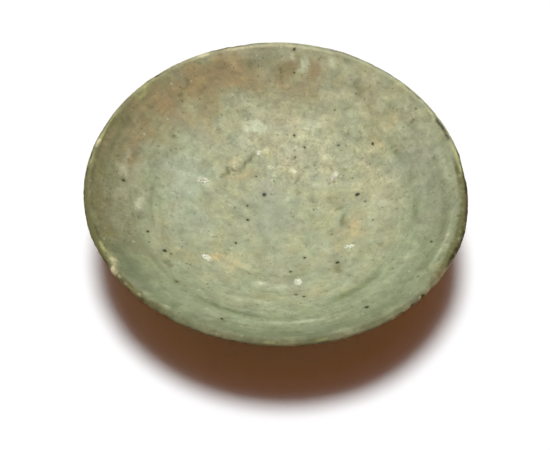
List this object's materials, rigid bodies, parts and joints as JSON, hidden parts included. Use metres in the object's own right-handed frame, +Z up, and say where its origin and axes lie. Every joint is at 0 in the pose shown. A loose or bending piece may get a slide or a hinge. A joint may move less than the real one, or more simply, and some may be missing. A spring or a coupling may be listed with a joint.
{
  "type": "ceramic dish",
  "caption": "Shallow round stoneware dish with a rounded lip and a ring foot, celadon-glazed inside and out, with a ring of firing-spur marks on its floor.",
  "frame": {"origin": "on the dish's axis, on the surface that the foot ring stands on", "axes": "+Z up along the dish's axis; -Y towards the viewer of the picture, +X to the viewer's right"},
  "size_m": [0.16, 0.16, 0.0398],
  "materials": {
    "stoneware": "bare fired stoneware, matt, with fine grit",
    "inner_celadon": "satin sage-green celadon glaze with tan patches and iron specks",
    "outer_celadon": "satin olive celadon glaze, thin at the lip and foot",
    "quartz_grit": "rough broken white grit"
  },
  "bodies": {
    "root": {"clay_body": "stoneware", "foot_ring": "stoneware", "inner_glaze": "inner_celadon", "outer_glaze": "outer_celadon", "spur_mark_1": "quartz_grit", "spur_mark_2": "quartz_grit", "spur_mark_3": "quartz_grit", "spur_mark_4": "quartz_grit", "spur_mark_5": "quartz_grit", "spur_mark_6": "quartz_grit"}
  },
  "joints": []
}
